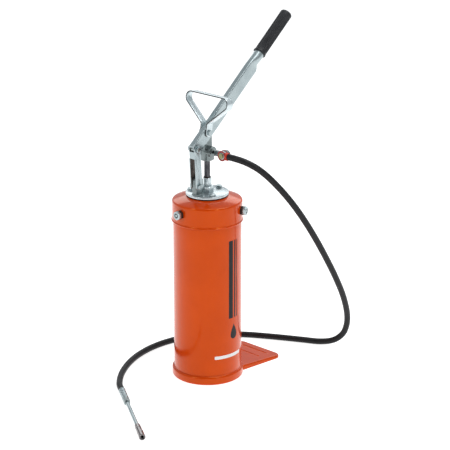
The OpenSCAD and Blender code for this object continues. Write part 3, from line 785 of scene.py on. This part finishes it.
gland = hexagon("gland_hex", 26, FLANGE_TOP + 0.02, 467.98, UP, bore=7.05)
spigot = lathe("spigot", [(7.05, 436.5), (12, 436.5), (12.5, 437), (12.5, 454.3), (7.05, 454.3)], seg=96)
put(join("gland_housing", [gland, spigot]), "base", ZINC_LIGHT, "zinc_plate", "gland_body")
gland_cap = hexagon("gland_cap_nut", 18, 468, 487.5, UP, bottom=True, bore=7.4)
put(gland_cap, "base", ZINC_LIGHT, "zinc_plate", "gland_nut")
put(lathe("rod_wiper",
          [(7.05, 487.52), (8.3, 487.52), (8.3, 489.7), (7.9, 490.4), (7.4, 490.52), (7.05, 490.2)],
          seg=64), "base", GASKET, "rubber", "scraper_ring")


# ---------------------------------------------------------------- link, lever and grip

def pivot(name, p, y_head, y_end, body, bolt_node, nut_node):
    """A hexagon bolt through p with a self-locking nut on the far side."""
    near = at_y(p, y_head)
    far = at_y(p, 0, 1)
    y_nut = -y_head
    head = hexagon("head", 13, 0.5, 5.3, near, turn=PI / 6)
    face = lathe("face", [(0, 0), (6.2, 0), (6.2, 0.5), (0, 0.5)], near, 48)
    shank = lathe("shank", [(0, y_head), (4, y_head), (4, y_nut), (0, y_nut)], far, 40)
    end = threaded("end", 4, y_nut - 0.1, y_end, far, seg=40)
    put(join(name + "_screw", [head, face, shank, end]), body, ZINC, "zinc_plate", bolt_node)
    nut = hexagon("nut", 13, y_nut + 0.02, y_nut + 5.2, far, bottom=True, turn=PI / 6, bore=4.05)
    crown = lathe("crown", [(4.9, y_nut + 4.9), (5.8, y_nut + 4.9), (5.8, y_nut + 6.0), (5.4, y_nut + 6.45),
                            (4.9, y_nut + 6.45)], far, 48)
    put(join(name + "_locknut", [nut, crown]), body, ZINC, "zinc_plate", nut_node)
    put(lathe(name + "_nylon",
              [(4.05, y_nut + 4.9), (4.88, y_nut + 4.9), (4.88, y_nut + 6.3), (4.05, y_nut + 6.3)],
              far, 48), body, NYLON, "packing")


LINK_R, LINK_IN, LINK_OUT = 9.5, 7.2, 9.7
LINK_LEN = math.hypot(T[0] - B[0], T[1] - B[1])
LEAN = math.atan2(T[0] - B[0], T[1] - B[1])
LINK_X = (math.cos(LEAN), 0, -math.sin(LEAN))
LINK = axis_frame((B[0], 0, B[1]), (0, -1, 0), LINK_X)
LINK_UP = axis_frame((B[0], 0, B[1]), (math.sin(LEAN), 0, math.cos(LEAN)), LINK_X)
cheek = (arc2(0, 0, LINK_R, 180, 360, 20) + arc2(0, LINK_LEN, LINK_R, 0, 180, 20)
         + [(-9.5, 85.4), (-6.5, 85.4), (-6.5, 68.6), (-9.5, 68.6)])
web = rounded([(-9.5, -9.7, 3.2), (-9.5, 9.7, 3.2), (-4, 9.7, 0), (-4, 7.2, 0), (-7, 7.2, 0.8),
               (-7, -7.2, 0.8),
               (-4, -7.2, 0), (-4, -9.7, 0)], 5)
link = prism("pressed_link", cheek, LINK_IN, LINK_OUT, m=LINK)
boolean(link, [prism("other", cheek, -LINK_OUT, -LINK_IN, m=LINK),
               prism("web", web, 68.6, 85.4, m=LINK_UP)], "UNION")
boolean(link, [cutter(LINK, 4.02, -12, 12),
               cutter(LINK @ Matrix.Translation((0, LINK_LEN, 0)), 4.02, -12, 12)])
soften(link, 0.45, 2, 40)
put(link, "link", ZINC, "zinc_plate", "link")
# The channel's inner faces get the painted shade.
second_finish(link, PAINTED_SHADE_INSIDE, lambda p: abs(p.normal.y) > 0.9 and p.center.y * p.normal.y < 0
              and abs(p.center.y) < 0.0073)
pivot("lower_pivot", B, -9.72, 18.2, "link", "lower_bolt", "lower_nut")
pivot("upper_pivot", T, -9.72, 18.2, "link", "upper_bolt", "upper_nut")

ANGLE = math.radians(39)
LEVER_X = Vector((math.cos(ANGLE), 0, math.sin(ANGLE)))
LEVER_Z = Vector((-math.sin(ANGLE), 0, math.cos(ANGLE)))
LEVER_O = Vector((T[0], 0, T[1]))
TUBE_R, TUBE_Z = 12.4, 2.0
LOWER_EDGE = ((-5, -6.5), (-3, -10.5), (3, -14.5), (250, -16), (256, -14.6), (263, -9.6), (280, -10.4),
              (410, -10.4))
UPPER_EDGE = ((-5, 12.5), (-4, 14.3), (-2, 15.5), (236, 15.5), (263, 14.6), (410, 14.4))


def read_off(table, x):
    """The height of a polyline at x."""
    for (x0, y0), (x1, y1) in zip(table, table[1:]):
        if x <= x1:
            return y0 + (y1 - y0) * (x - x0) / (x1 - x0)
    return table[-1][1]


def lever_section(x, side=18, web=6):
    """The sheet's outside at x: an open channel that is rolled into a tube."""
    low, top = read_off(LOWER_EDGE, x), read_off(UPPER_EDGE, x)
    r = 3.2
    climb = top - r - low
    channel = ([(-7, low + climb * i / side) for i in range(side)] + arc2(-7 + r, top - r, r, 180, 90, 8)
               + [(-7 + r + (14 - 2 * r) * i / web, top) for i in range(1, web)]
               + arc2(7 - r, top - r, r, 90, 0,
                      8) + [(7, top - r - climb * i / side) for i in range(1, side + 1)])
    run = [0.0]
    for a, b in zip(channel, channel[1:]):
        run.append(run[-1] + math.hypot(b[0] - a[0], b[1] - a[1]))
    w = min(max((x - 246) / 35, 0), 1)
    w = w * w * (3 - 2 * w)
    section = []
    for (y, z), s in zip(channel, run):
        t = math.radians(268.6 - 357.2 * s / run[-1])
        section.append((y * (1 - w) + TUBE_R * math.cos(t) * w,
                        z * (1 - w) + (TUBE_Z + TUBE_R * math.sin(t)) * w))
    return section


stations = ([-5, -4.3, -3.5, -2.6, -1.5, 0, 1.5, 3, 8, 16] + [26 + 11 * i for i in range(20)]
            + [240 + 1.8 * i for i in range(26)] + [300, 340, 380, 403])
rows = [[LEVER_O + LEVER_X * x + LEVER_Z * z + Vector((0, y, 0)) for y,
         z in lever_section(x)] for x in stations]
lever = face_towards(finish_mesh("pressed_lever", loft_bm(rows, closed_ring=False), 40), LEVER_Z)
thicken(lever, 2.0, 40)
boolean(lever, [cutter(at_y(T), 7.02, -14, 14, 64), cutter(at_y(H), 7.0, -14, 14, 64)], smooth=40)
soften(lever, 0.4, 2, 60, 40)
put(lever, "lever", ZINC, "zinc_plate", "lever")
# The lever's downward-facing cut edges get the painted edge shade.
second_finish(lever, EDGE_SHADE, lambda p: p.normal.dot(LEVER_Z) < -0.8
              and (p.center / MM - LEVER_O).dot(LEVER_Z) < -8
              and (p.center / MM - LEVER_O).dot(LEVER_X) < 262)

GRIP = axis_frame(LEVER_O + LEVER_X * 288 + LEVER_Z * TUBE_Z, LEVER_X, LEVER_Z)
flutes = [8, 9, 10.5, 12, 14, 30, 50, 70, 90, 108, 111, 113, 114.5, 116]


def flute(a, z, low=8, high=116, deep=1.1, count=20):
    """The grip's lengthwise grooves, which run out at both ends."""
    if not low < z < high:
        return 0.0
    depth = min((z - low) / 5, (high - z) / 4, 1)
    return -deep * depth * (0.5 - 0.5 * math.cos(count * a)) ** 1.3


grip = lathe("ribbed_grip", [(12.42, 0), (15.2, 0), (15.7, 0.6), (15.7, 2.2), (15.1, 3.6), (14.6, 5.2)]
             + [(14.5, z) for z in flutes] + [(14.5, 120)] + arc2(9.5, 122, 5, 0, 80,
                                                                  7) + [(0, 127), (0, 117), (12.42, 117)],
             GRIP, seg=240, smooth=40, wave=flute)
put(grip, "lever", GRIP_RUBBER, "rubber", "grip")


# ---------------------------------------------------------------- pump head and outlet

def square_ring(half, z, r=1.8):
    """A level square with rounded corners."""
    corners = [(-half, -half, r), (half, -half, r), (half, half, r), (-half, half, r)]
    return [Vector((x, y, z)) for x, y in rounded(corners, 3)]


head = finish_mesh("pump_casting", loft_bm([square_ring(9, 528), square_ring(12, 531), square_ring(12, 551),
                                            square_ring(7, 563)]))
outlet = at_y((0, OUTLET_Z))
boolean(head, [lathe("boss", [(0, -4), (12.5, -4), (12.5, 18), (11.6, 19), (0, 19)], outlet, 72),
               prism("tang", [(-12, 551), (12, 551), (11, 589), (5, 600), (-13, 598)], -4.8, 4.8, m=SIDE),
               lathe("eye", [(0, -4.8), (10, -4.8), (10, 4.8), (0, 4.8)], at_y(H), 64)], "UNION")
boolean(head, [cutter(at_y(H), 4.02, -8, 8), cutter(UP, 7.02, 520, 540), cutter(UP, 3.5, 530, 555),
               cutter(outlet, 4, -1, 22)])
soften(head, 0.9, 3, 32, 40)
put(head, "head", CAST, "plain_steel", "pump_head")

lug = along_x(0, BANJO_Y, OUTLET_Z)
adapter = hexagon("outlet_elbow", 22, 19.02, 28, outlet)
boolean(adapter, [lathe("neck", [(0, 27), (7, 27), (7, 46), (0, 46)], outlet, 48),
                  box_cutter((0, -54.5, 545), (7, -42.5, 559)),
                  lathe("lug", [(0, 0), (11, 0), (11, 8), (10, 9), (0, 9)], lug, 64)], "UNION")
boolean(adapter, [cutter(lug, 12.6, -20, 0, 64), cutter(lug, 5.02, -1, 8), cutter(outlet, 4, 10, 36)])
soften(adapter, 0.6, 2, 32, 40)
put(adapter, "head", CAST, "plain_steel", "outlet_adapter")

eye = along_x(-9.5, BANJO_Y, OUTLET_Z)
collar_axis = at_y((-5.5, OUTLET_Z))
ring = lathe("eye_ring", [(5.02, 0), (10.4, 0), (11, 0.6), (11, 7.4), (10.4, 8), (5.02, 8)], eye, 72)
stem = lathe("stem", [(2, 64.6), (3.9, 64.6), (3.9, 70.98), (2, 70.98)], collar_axis, 40)
put(join("hose_eye", [ring, stem]), "head", ZINC, "zinc_plate", "banjo_eye")
bolt_axis = along_x(0, BANJO_Y, OUTLET_Z, -1)
bolt_head = hexagon("bolt_head", 12, 11.4, 14.5, bolt_axis)
bolt_shank = lathe("bolt_shank", [(0, -7.5), (5, -7.5), (5, 11.5), (0, 11.5)], bolt_axis, 40)
put(join("hollow_bolt", [bolt_head, bolt_shank]), "head", YELLOW, "yellow_plate", "banjo_bolt")
put(lathe("hollow_bolt_face", [(5.02, 11.03), (8.1, 11.03), (8.1, 11.28), (7.9, 11.4), (5.02, 11.4)],
          bolt_axis, 64),
    "head", ZINC, "zinc_plate")
washers = [lathe("w", [(5.02, z), (12.0, z), (12.3, z + 0.3), (12.3, z + 1.14), (12.0, z + 1.44),
                       (5.02, z + 1.44)],
                 bolt_axis, 72) for z in (9.54, 0.04)]
put(join("seal_washers", washers), "head", COPPER, "copper", "copper_washers")
collar = lathe("outlet_collar", [(3.92, 61), (8.6, 61), (9.3, 61.7), (9.3, 64.4), (9.0, 64.9), (9.3, 65.4),
                                 (9.3, 69.8), (8.4, 71), (3.92, 71)], collar_axis, 72)
boolean(collar, [cutter(along_x(-5.5, BANJO_Y, OUTLET_Z), 12.5, -12, 12, 72)])
put(collar, "head", RED, "red_plastic", "hose_collar")
pivot("head_pivot", H, -10.3, 18.7, "head", "head_bolt", "head_nut")


# ---------------------------------------------------------------- carrying loop

TILT = math.radians(9)
LOOP_UP = Vector((math.sin(TILT), 0, math.cos(TILT)))
LOOP_X = Vector((math.cos(TILT), 0, -math.sin(TILT)))
side = [(8.7, -10 * math.cos(t), max(10 * math.sin(t), 1.2)) for t in
        [math.radians(d) for d in (6, 16, 27, 38, 50, 62, 76, 90)]]
side += [(8.7, 8, 10)] + [(x, z, 10) for x,
                          z in arc2(16.7, 17.27, 8, 180, 130, 6) + arc2(49, 73, 14, -50, 90, 14)]
strap = [(-x, z, w) for x, z, w in side] + [(0, 87, 10)] + side[::-1]
rows = []
for i, (x, z, w) in enumerate(strap):
    a, b = strap[max(i - 1, 0)], strap[min(i + 1, len(strap) - 1)]
    t = Vector((b[0] - a[0], b[1] - a[1])).normalized()
    outline = rounded([(1.5, -w, 0.7), (1.5, w, 0.7), (-1.5, w, 0.7), (-1.5, -w, 0.7)], 2)
    rows.append([Vector((H[0], 0, H[1])) + Vector((0, x - t.y * n,
                                                   0)) + LOOP_UP * (z + t.x * n) + LOOP_X * s
                 for n, s in outline])
loop = finish_mesh("strap_loop", loft_bm(rows), 40)
boolean(loop, [cutter(at_y(H), 4.05, -14, 14)], smooth=40)
put(loop, "loop", ZINC_LIGHT, "zinc_plate", "carry_loop")
# The strap's narrow edges get the painted edge shade.
second_finish(loop, EDGE_SHADE, lambda p: abs(p.normal.dot(LOOP_X)) > 0.5)


# ---------------------------------------------------------------- hose end and coupler

PIPE = axis_frame(TIP, TIP_DIR, (0, 0, 1))
CRIMPS = ((6, 15), (19.5, 28.5), (33, 42))


def crimp(a, z):
    """The eight flats pressed into the ferrule at each crimp."""
    inside = any(lo < z < hi for lo, hi in CRIMPS)
    return -0.28 * (0.5 + 0.5 * math.cos(8 * a)) if inside else 0.0


profile = [(0, 0.02), (7.1, 0.02), (7.8, 0.4), (8, 1.2)]
for lo, hi in CRIMPS:
    profile += [(8, lo - 0.8), (7.45, lo + 0.1), (7.45, hi - 0.1), (8, hi + 0.8)]
profile += [(8, 50), (7.2, 51.6), (6.6, 51.98), (0, 51.98)]
ferrule = lathe("crimped_ferrule", profile, PIPE, 96, 40, crimp)
put(ferrule, "base", ZINC, "zinc_plate", "hose_ferrule")
union = hexagon("union_nut", 2 * 8 * math.cos(PI / 6), 52, 72, PIPE, bottom=True, bore=4.52)
put(union, "base", ZINC_DULL, "plain_steel", "pipe_nut")

# ---------------------------------------------------------------- plain printed marks

def printed(name, outlines, azimuth, mat):
    """Flat outlines (along the drum's surface, height) laid on the drum as a very thin layer."""
    bm = bmesh.new()
    for outline in outlines:
        piece = prism_bm(outline, -0.05, 0.06)
        lo = min(p[0] for p in outline)
        hi = max(p[0] for p in outline)
        x = lo + 2.5
        while x < hi:
            bmesh.ops.bisect_plane(piece, geom=piece.verts[:] + piece.edges[:] + piece.faces[:],
                                   plane_co=(x, 0, 0), plane_no=(1, 0, 0))
            x += 2.5
        for v in piece.verts:
            a = math.radians(azimuth) + v.co.x / DRUM_R
            r = DRUM_R + v.co.z
            v.co = (r * math.cos(a), r * math.sin(a), v.co.y)
        me = bpy.data.meshes.new("piece")
        piece.to_mesh(me)
        piece.free()
        bm.from_mesh(me)
        bpy.data.meshes.remove(me)
    return put(finish_mesh(name, bm, 40), "base", mat, "orange_paint")


drop = [(15 * math.sin(t) * abs(math.sin(t / 2)) ** 1.5 - 1, 126 + 19 * math.cos(t)) for t in
        [2 * PI * i / 48 for i in range(48)]]
bars = [rounded([(x, lo, 1.2), (x + w, lo, 1.2), (x + w, hi, 1.2), (x, hi, 1.2)], 3)
        for x, w, lo, hi in ((-17, 13, 160, 352), (0, 5, 160, 352), (9, 3, 160, 352))]
printed("plain_bars", bars + [drop[::-1]], 273, PRINT)
printed("plain_white_bar", [rounded([(-40, 63, 1.5), (38, 63, 1.5), (38, 71, 1.5), (-40, 71, 1.5)], 3)],
        263,
        PRINT_WHITE)

slot_of = {s["node"]: s["material_slot"] for s in frame["record"]["subparts"]}
for node_name, ob in frame["nodes"].items():
    if ob.hide_render:
        continue
    mat = NODE_MATERIAL.get(node_name, SLOT_MATERIAL[slot_of[node_name]])
    if ob.data.materials:
        for k in range(len(ob.material_slots)):
            ob.material_slots[k].link = "OBJECT"
            ob.material_slots[k].material = mat
    else:
        ob.data.materials.append(mat)
